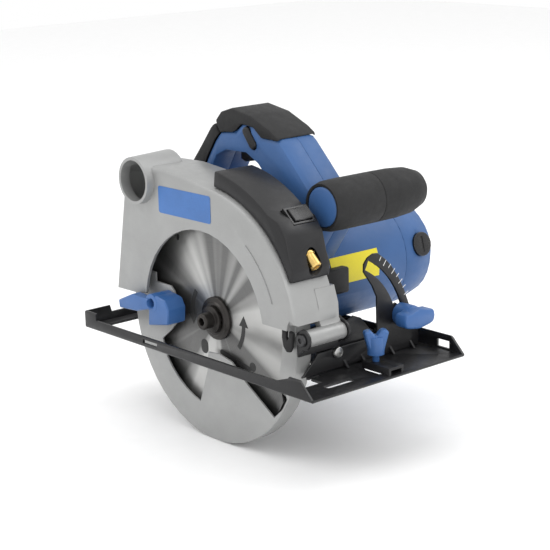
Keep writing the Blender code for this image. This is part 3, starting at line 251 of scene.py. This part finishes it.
def grained(name, colour, roughness, metallic=0.0, spread=0.1, grain=1400.0, bump=0.08,
            specular=0.5):
    """Surface with fine grain, cloudy colour change and worn, uneven gloss."""
    material, tree, shader = start_material(name)
    place = object_space(tree)
    fine = noise(tree, place, grain, 3.0)
    cloud = noise(tree, place, 34.0, 5.0, 0.6)
    wear = noise(tree, place, 160.0, 6.0, 0.7)
    dark = tuple(c * (1 - spread) for c in colour)
    light = tuple(min(1.0, c * (1 + spread)) for c in colour)
    tone = mix_colour(tree, remap(tree, cloud, 0.0, 1.0), dark, light)
    speck = tuple(min(1.0, c * (1 + spread * 1.6) + 0.004) for c in colour)
    tone = mix_colour(tree, remap(tree, fine, 0.0, 0.35, 0.52, 0.7), tone, speck)
    tree.links.new(tone, shader.inputs["Base Color"])
    gloss = remap(tree, wear, roughness - 0.07, roughness + 0.09)
    tree.links.new(gloss, shader.inputs["Roughness"])
    shader.inputs["Metallic"].default_value = metallic
    shader.inputs["Specular IOR Level"].default_value = specular
    height = tree.nodes.new("ShaderNodeBump")
    height.inputs["Strength"].default_value = bump
    height.inputs["Distance"].default_value = 0.0004
    tree.links.new(fine, height.inputs["Height"])
    tree.links.new(height.outputs["Normal"], shader.inputs["Normal"])
    return material


def turned_steel(name, colour, roughness, centre, painted_highlight_colour):
    """Steel with circular machining marks about an axis along Y, and painted highlight streaks that
    fan out from that axis.
    """
    material, tree, shader = start_material(name)
    place = object_space(tree)
    shift = tree.nodes.new("ShaderNodeMapping")
    shift.inputs["Location"].default_value = (-centre[0], 0.0, -centre[2])
    shift.inputs["Scale"].default_value = (1.0, 0.0, 1.0)
    tree.links.new(place, shift.inputs["Vector"])
    reach = tree.nodes.new("ShaderNodeVectorMath")
    reach.operation = "LENGTH"
    tree.links.new(shift.outputs["Vector"], reach.inputs[0])
    rings = tree.nodes.new("ShaderNodeTexNoise")
    rings.noise_dimensions = "1D"
    rings.inputs["Scale"].default_value = 2600.0
    rings.inputs["Detail"].default_value = 3.0
    tree.links.new(reach.outputs["Value"], rings.inputs["W"])
    # Painted highlight: noise on the direction from the axis makes streaks that fan out. These
    # blend the steel towards a lighter colour in place of the sheen of brushed steel.
    aim = tree.nodes.new("ShaderNodeVectorMath")
    aim.operation = "NORMALIZE"
    tree.links.new(shift.outputs["Vector"], aim.inputs[0])
    painted_highlight_streak = noise(tree, aim.outputs["Vector"], 1.7, 2.0)
    smear = noise(tree, place, 420.0, 5.0, 0.7)
    dark = tuple(c * 0.72 for c in colour)
    tone = mix_colour(tree, remap(tree, rings.outputs["Fac"], 0.0, 1.0), dark, colour)
    tone = mix_colour(tree, remap(tree, painted_highlight_streak, 0.0, 0.9, 0.44, 0.62), tone, painted_highlight_colour)
    tree.links.new(tone, shader.inputs["Base Color"])
    tree.links.new(remap(tree, smear, roughness - 0.06, roughness + 0.1),
                   shader.inputs["Roughness"])
    shader.inputs["Metallic"].default_value = 0.85
    shader.inputs["Anisotropic"].default_value = 0.5
    height = tree.nodes.new("ShaderNodeBump")
    height.inputs["Strength"].default_value = 0.10
    height.inputs["Distance"].default_value = 0.0002
    tree.links.new(rings.outputs["Fac"], height.inputs["Height"])
    tree.links.new(height.outputs["Normal"], shader.inputs["Normal"])
    return material


def build_materials(props):
    """Make every material once, by name."""
    arbor = tuple(props.arbor)
    MATERIALS.update({
        "sole_steel": grained("sole_steel", (0.010, 0.010, 0.011), 0.36, 0.0, 0.22, 900.0, 0.16,
                              specular=0.4),
        "oxide_steel": grained("oxide_steel", (0.035, 0.032, 0.030), 0.34, 0.75, 0.25, 1100.0, 0.1),
        "zinc": grained("zinc", (0.50, 0.50, 0.49), 0.30, 0.95, 0.12, 1500.0, 0.06),
        "zinc_dark": grained("zinc_dark", (0.05, 0.05, 0.052), 0.36, 0.8, 0.2, 1500.0, 0.08),
        "casting": grained("casting", (0.315, 0.318, 0.315), 0.40, 0.35, 0.05, 1600.0, 0.10),
        "casting_light": grained("casting_light", (0.33, 0.333, 0.33), 0.40, 0.35, 0.06, 1500.0,
                                 0.10),
        "blue_shell": grained("blue_shell", (0.036, 0.102, 0.262), 0.46, 0.0, 0.07, 1700.0, 0.12,
                              specular=0.35),
        "blue_knob": grained("blue_knob", (0.036, 0.115, 0.315), 0.38, 0.0, 0.08, 1700.0, 0.07),
        "black_shell": grained("black_shell", (0.010, 0.010, 0.011), 0.40, 0.0, 0.18, 1700.0, 0.16,
                               specular=0.35),
        "black_gloss": grained("black_gloss", (0.008, 0.008, 0.009), 0.26, 0.0, 0.2, 1500.0, 0.04),
        "rubber": grained("rubber", (0.017, 0.017, 0.0175), 0.66, 0.0, 0.14, 1300.0, 0.3,
                          specular=0.3),
        "brass": grained("brass", (0.72, 0.50, 0.17), 0.26, 0.95, 0.14, 1200.0, 0.06),
        "copper": grained("copper", (0.55, 0.24, 0.12), 0.4, 0.9, 0.2, 1200.0, 0.1),
        # The blade's second, lighter colour is its painted highlight, laid on in streaks fanning
        # out from the arbor.
        "blade_steel": turned_steel("blade_steel", (0.17, 0.17, 0.168), 0.34, arbor,
                                    (0.52, 0.52, 0.51)),
        # Black for printed marks, and also painted shade for the blade's openings.
        "print_and_shade_black": grained("print_and_shade_black", (0.018, 0.018, 0.018), 0.5, 0.0, 0.2, 900.0, 0.02),
        "print_white": grained("print_white", (0.75, 0.75, 0.74), 0.5, 0.0, 0.05, 900.0, 0.02),
        "label_blue": grained("label_blue", tuple(props.label_blue), 0.34, 0.0, 0.12, 700.0, 0.02),
        "label_yellow": grained("label_yellow", tuple(props.label_yellow), 0.4, 0.0, 0.05, 700.0,
                                0.02),
    })


# ---------------------------------------------------------------- modelling helpers

def only(obj):
    """Select one object and make it active."""
    bpy.ops.object.select_all(action="DESELECT")
    obj.select_set(True)
    bpy.context.view_layer.objects.active = obj


def body_holding(node):
    """The body that a frame node moves with."""
    for body, members in frame["record"]["behaviour"]["bodies"].items():
        if node in members:
            return body
    raise RuntimeError(f"no body holds {node}")


def apply_modifier(piece, kind, **settings):
    """Add a modifier, set it up and apply it."""
    modifier = piece.modifiers.new(kind.lower(), kind)
    for key, value in settings.items():
        setattr(modifier, key, value)
    bpy.ops.object.modifier_apply(modifier=modifier.name)


def refine(node, material, width, segments):
    """Stand a welded, edge-rounded copy of a frame node in its place."""
    source = frame["nodes"][node]
    piece = source.copy()
    piece.data = source.data.copy()
    piece.name = "look_" + node
    piece.parent = None
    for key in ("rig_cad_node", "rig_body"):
        del piece[key]
    bpy.context.collection.objects.link(piece)
    only(piece)
    bpy.ops.object.mode_set(mode="EDIT")
    bpy.ops.mesh.select_all(action="SELECT")
    bpy.ops.mesh.remove_doubles(threshold=0.00001)
    bpy.ops.mesh.dissolve_limited(angle_limit=math.radians(1.0))
    bpy.ops.mesh.normals_make_consistent(inside=False)
    bpy.ops.object.mode_set(mode="OBJECT")
    apply_modifier(piece, "BEVEL", width=width, segments=segments, limit_method="ANGLE",
                   angle_limit=math.radians(34), harden_normals=False)
    bpy.ops.object.shade_smooth_by_angle(angle=math.radians(36))
    piece.data.materials.clear()
    piece.data.materials.append(MATERIALS[material])
    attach(piece, body_holding(node))
    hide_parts(node)
    return piece


def finished(piece, name, material, body, smooth=30):
    """Name a modelled piece, apply its transform, and give it a finish and a body."""
    piece.name = name
    only(piece)
    bpy.ops.object.transform_apply(location=True, rotation=True, scale=True)
    bpy.ops.object.mode_set(mode="EDIT")
    bpy.ops.mesh.select_all(action="SELECT")
    bpy.ops.mesh.normals_make_consistent(inside=False)
    bpy.ops.object.mode_set(mode="OBJECT")
    bpy.ops.object.shade_smooth_by_angle(angle=math.radians(smooth))
    piece.data.materials.clear()
    piece.data.materials.append(MATERIALS[material])
    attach(piece, body)
    return piece


def sheet_piece(centre, width, height, turn, corner, thickness):
    """Thin rectangle with round corners, standing in a plane turned from XY."""
    bpy.ops.object.select_all(action="DESELECT")
    bpy.ops.mesh.primitive_plane_add(size=1.0, location=centre, rotation=turn)
    piece = bpy.context.object
    piece.scale = (width, height, 1.0)
    only(piece)
    bpy.ops.object.transform_apply(location=False, rotation=False, scale=True)
    bpy.ops.object.mode_set(mode="EDIT")
    bpy.ops.mesh.select_all(action="SELECT")
    bpy.ops.mesh.bevel(offset=corner, segments=4, affect="VERTICES")
    bpy.ops.object.mode_set(mode="OBJECT")
    apply_modifier(piece, "SOLIDIFY", thickness=thickness, offset=0.0)
    return piece


def radial_strip(centre, axis, inner, outer, along, start, sweep, steps):
    """Strip swept about an axis from one edge, left in edit mode with its last edge selected."""
    bpy.ops.object.select_all(action="DESELECT")
    bpy.ops.mesh.primitive_plane_add(size=1.0)
    piece = bpy.context.object
    bpy.ops.object.mode_set(mode="EDIT")
    bpy.ops.mesh.select_all(action="DESELECT")
    shape = bmesh.from_edit_mesh(piece.data)
    for corner in list(shape.verts)[2:]:
        shape.verts.remove(corner)
    first, second = shape.verts
    if not shape.edges:
        shape.edges.new((first, second))
    first.co = along(inner, start)
    second.co = along(outer, start)
    for item in (first, second, *shape.edges):
        item.select = True
    bmesh.update_edit_mesh(piece.data)
    bpy.ops.mesh.spin(steps=steps, angle=math.radians(sweep), center=centre, axis=axis)
    return piece


# ---------------------------------------------------------------- operators

class SAW_OT_refined_pieces(Operator):
    """Round the edges of every frame piece and give it its finish"""

    bl_idname = "saw.refined_pieces"
    bl_label = "Refined pieces"

    def execute(self, context):
        build_materials(context.scene.saw)
        missing = set(frame["nodes"]) ^ set(REFINED)
        if missing:
            raise RuntimeError(f"no finish for {sorted(missing)}")
        for node, (material, width, segments) in REFINED.items():
            refine(node, material, width, segments)
        return {"FINISHED"}


class SAW_OT_labels(Operator):
    """Blank labels on the upper guard and the motor"""

    bl_idname = "saw.labels"
    bl_label = "Blank labels"

    def execute(self, context):
        props = context.scene.saw
        guard = sheet_piece((-0.0215, props.guard_face - 0.00016, 0.1158), 0.063, 0.021,
                            (math.radians(90), 0, 0), 0.002, LABEL_DEPTH)
        finished(guard, "guard_label", "label_blue", "saw_body")
        cx, cz = props.motor_centre
        reach = props.motor_radius + 0.00018
        start = math.radians(-7)

        def along(y, turn):
            return Vector((cx + reach * math.cos(turn), y, cz + reach * math.sin(turn)))

        motor = radial_strip((cx, 0.0, cz), (0, 1, 0), 0.028, 0.079, along, start, 28, 12)
        bpy.ops.object.mode_set(mode="OBJECT")
        only(motor)
        apply_modifier(motor, "SOLIDIFY", thickness=LABEL_DEPTH, offset=0.0)
        finished(motor, "motor_label", "label_yellow", "saw_body")
        return {"FINISHED"}


class SAW_OT_blade_marks(Operator):
    """Turning arrows printed on the blade"""

    bl_idname = "saw.blade_marks"
    bl_label = "Blade marks"

    def execute(self, context):
        props = context.scene.saw
        cx, _, cz = props.arbor
        face = props.blade_face - 0.0001
        for name, start, sweep in (("left", 146, 38), ("right", -38, 36)):
            def along(reach, turn):
                return Vector((cx + reach * math.cos(turn), face, cz + reach * math.sin(turn)))

            arrow = radial_strip((cx, face, cz), (0, 1, 0), ARROW_REACH - ARROW_HALF,
                                 ARROW_REACH + ARROW_HALF, along, math.radians(start), sweep, 12)
            end = math.radians(start + sweep)
            middle = along(ARROW_REACH, end)
            ahead = Vector((-math.sin(end), 0, math.cos(end)))
            bpy.ops.mesh.extrude_region_move()
            shape = bmesh.from_edit_mesh(arrow.data)
            for vert in shape.verts:
                if vert.select:
                    vert.co = middle + (vert.co - middle) * ARROW_FLARE
            bmesh.update_edit_mesh(arrow.data)
            bpy.ops.mesh.extrude_region_move(
                TRANSFORM_OT_translate={"value": tuple(ahead * ARROW_TIP)})
            bpy.ops.mesh.merge(type="CENTER")
            bpy.ops.object.mode_set(mode="OBJECT")
            only(arrow)
            apply_modifier(arrow, "SOLIDIFY", thickness=PRINT_DEPTH, offset=0.0)
            finished(arrow, "blade_arrow_" + name, "print_and_shade_black", "spindle")
        return {"FINISHED"}


class SAW_OT_blade_holes(Operator):
    """Holes and the relief slot seen on the blade, as black sheets of painted shade on its face"""

    bl_idname = "saw.blade_holes"
    bl_label = "Blade holes"

    def execute(self, context):
        face = context.scene.saw.blade_face - 0.00008
        upright = math.radians(90)
        # Painted shade: each opening is a black sheet on the blade's face, not a cut, standing in
        # for the dark seen through it.
        for name, x, z, width, height, lean in (
                ("oblong", -0.0210, 0.0015, 0.0085, 0.0115, 0.0),
                ("slot_inner", 0.0075, -0.0010, 0.0200, 0.0050, 0.24),
                ("slot_outer", 0.0245, -0.0045, 0.0180, 0.0046, 0.18),
                ("round", 0.0360, -0.0030, 0.0072, 0.0072, 0.0),
                ("top", -0.0500, 0.0836, 0.0030, 0.0052, 0.3)):
            hole = sheet_piece((x, face, z), width, height, (upright, lean, 0),
                               min(width, height) * 0.48, PRINT_DEPTH)
            finished(hole, "blade_hole_" + name, "print_and_shade_black", "spindle")
        return {"FINISHED"}


class SAW_OT_scale_marks(Operator):
    """Degree marks on the bevel quadrant"""

    bl_idname = "saw.scale_marks"
    bl_label = "Scale marks"

    def execute(self, context):
        props = context.scene.saw
        cy, cz = props.bevel_centre
        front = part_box("bevel_quadrant")[1].x + 0.0001
        for i in range(props.tick_count):
            turn = math.radians(TICK_START + TICK_SWEEP * i / (props.tick_count - 1))
            length = 0.0035 if i % 2 else 0.0050
            reach = TICK_OUTER - length / 2
            place = (front, cy + reach * math.cos(turn), cz + reach * math.sin(turn))
            mark = sheet_piece(place, TICK_WIDTH, length, (0, 0, 0), 0.0002, PRINT_DEPTH)
            mark.rotation_euler = (math.radians(90), 0, math.radians(90))
            mark.rotation_euler = (Matrix.Rotation(turn - math.radians(90), 3, "X")
                                   @ mark.rotation_euler.to_matrix()).to_euler()
            finished(mark, f"bevel_tick_{i + 1:02d}", "print_white", "base")
        return {"FINISHED"}


# Lamps: name, place, size in metres, power in watts.
LAMPS = (("key", (-0.9, -1.3, 1.5), 1.1, 9.0), ("fill", (1.6, -0.3, 0.9), 1.2, 6.0),
         ("rim", (0.5, 1.3, 1.4), 1.0, 8.0), ("top", (0.0, 0.0, 1.9), 1.5, 7.0))
LAMP_TARGET = Vector((0.0, 0.0, 0.04))


def add_floor(context):
    """Pale floor at the height of the saw's lowest point."""
    bpy.ops.object.select_all(action="DESELECT")
    bpy.ops.mesh.primitive_plane_add(size=6.0, location=(0.0, 0.0, CAD_BOX[0][2]))
    floor = context.object
    floor.name = "floor"
    floor.data.materials.append(grained("floor_pale", (0.93, 0.93, 0.93), 0.7, 0.0, 0.01,
                                        60.0, 0.0))


def add_world(scene):
    """Even white surroundings."""
    world = bpy.data.worlds.new("studio")
    world.use_nodes = True
    background = world.node_tree.nodes["Background"]
    background.inputs["Color"].default_value = (1.0, 1.0, 1.0, 1.0)
    background.inputs["Strength"].default_value = 1.0
    scene.world = world


def add_camera(scene, props):
    """Camera placed and turned by azimuth, elevation and roll."""
    azimuth, elevation, roll = (math.radians(a) for a in props.camera_turn)
    back = Vector((math.sin(azimuth) * math.cos(elevation),
                   -math.cos(azimuth) * math.cos(elevation), math.sin(elevation)))
    right = Vector((math.cos(azimuth), math.sin(azimuth), 0.0))
    up = back.cross(right)
    side = right * math.cos(roll) + up * math.sin(roll)
    top = up * math.cos(roll) - right * math.sin(roll)
    turn = Matrix((side, top, back)).transposed()
    data = bpy.data.cameras.new("camera")
    data.lens = props.lens
    data.sensor_width = 36.0
    data.clip_start = 0.05
    data.clip_end = 50.0
    camera = bpy.data.objects.new("camera", data)
    camera.matrix_world = Matrix.Translation(Vector(props.camera_place)) @ turn.to_4x4()
    scene.collection.objects.link(camera)
    scene.camera = camera


def add_lamps(scene):
    """Four soft area lamps aimed at the saw."""
    for name, place, size, power in LAMPS:
        data = bpy.data.lights.new(name, "AREA")
        data.size = size
        data.energy = power
        lamp = bpy.data.objects.new(name, data)
        aim = LAMP_TARGET - Vector(place)
        lamp.matrix_world = (Matrix.Translation(Vector(place))
                             @ aim.to_track_quat("-Z", "Y").to_matrix().to_4x4())
        scene.collection.objects.link(lamp)


class SAW_OT_stage(Operator):
    """Pale floor, soft lights and the camera"""

    bl_idname = "saw.stage"
    bl_label = "Stage"

    def execute(self, context):
        scene = context.scene
        add_floor(context)
        add_world(scene)
        add_camera(scene, scene.saw)
        add_lamps(scene)
        scene.view_settings.view_transform = "Standard"
        return {"FINISHED"}


class SAW_PT_panel(Panel):
    """Buttons that build the saw piece by piece"""

    bl_idname = "SAW_PT_panel"
    bl_label = "Circular saw"
    bl_space_type = "VIEW_3D"
    bl_region_type = "UI"
    bl_category = "Saw"

    def draw(self, context):
        layout = self.layout
        props = context.scene.saw
        for name in ("tick_count", "label_blue", "label_yellow", "camera_turn", "lens"):
            layout.prop(props, name)
        for step in STEPS:
            layout.operator(step.bl_idname)


STEPS = (SAW_OT_refined_pieces, SAW_OT_labels, SAW_OT_blade_marks, SAW_OT_blade_holes,
         SAW_OT_scale_marks, SAW_OT_stage)
CLASSES = (SawProperties,) + STEPS + (SAW_PT_panel,)


def register():
    """Register the classes and the scene's settings."""
    for cls in CLASSES:
        bpy.utils.register_class(cls)
    bpy.types.Scene.saw = PointerProperty(type=SawProperties)


def unregister():
    """Remove the scene's settings and the classes."""
    del bpy.types.Scene.saw
    for cls in reversed(CLASSES):
        bpy.utils.unregister_class(cls)


def main():
    """Build every piece in order."""
    register()
    bpy.ops.saw.refined_pieces()
    bpy.ops.saw.labels()
    bpy.ops.saw.blade_marks()
    bpy.ops.saw.blade_holes()
    bpy.ops.saw.scale_marks()
    bpy.ops.saw.stage()


if __name__ == "__main__":
    main()
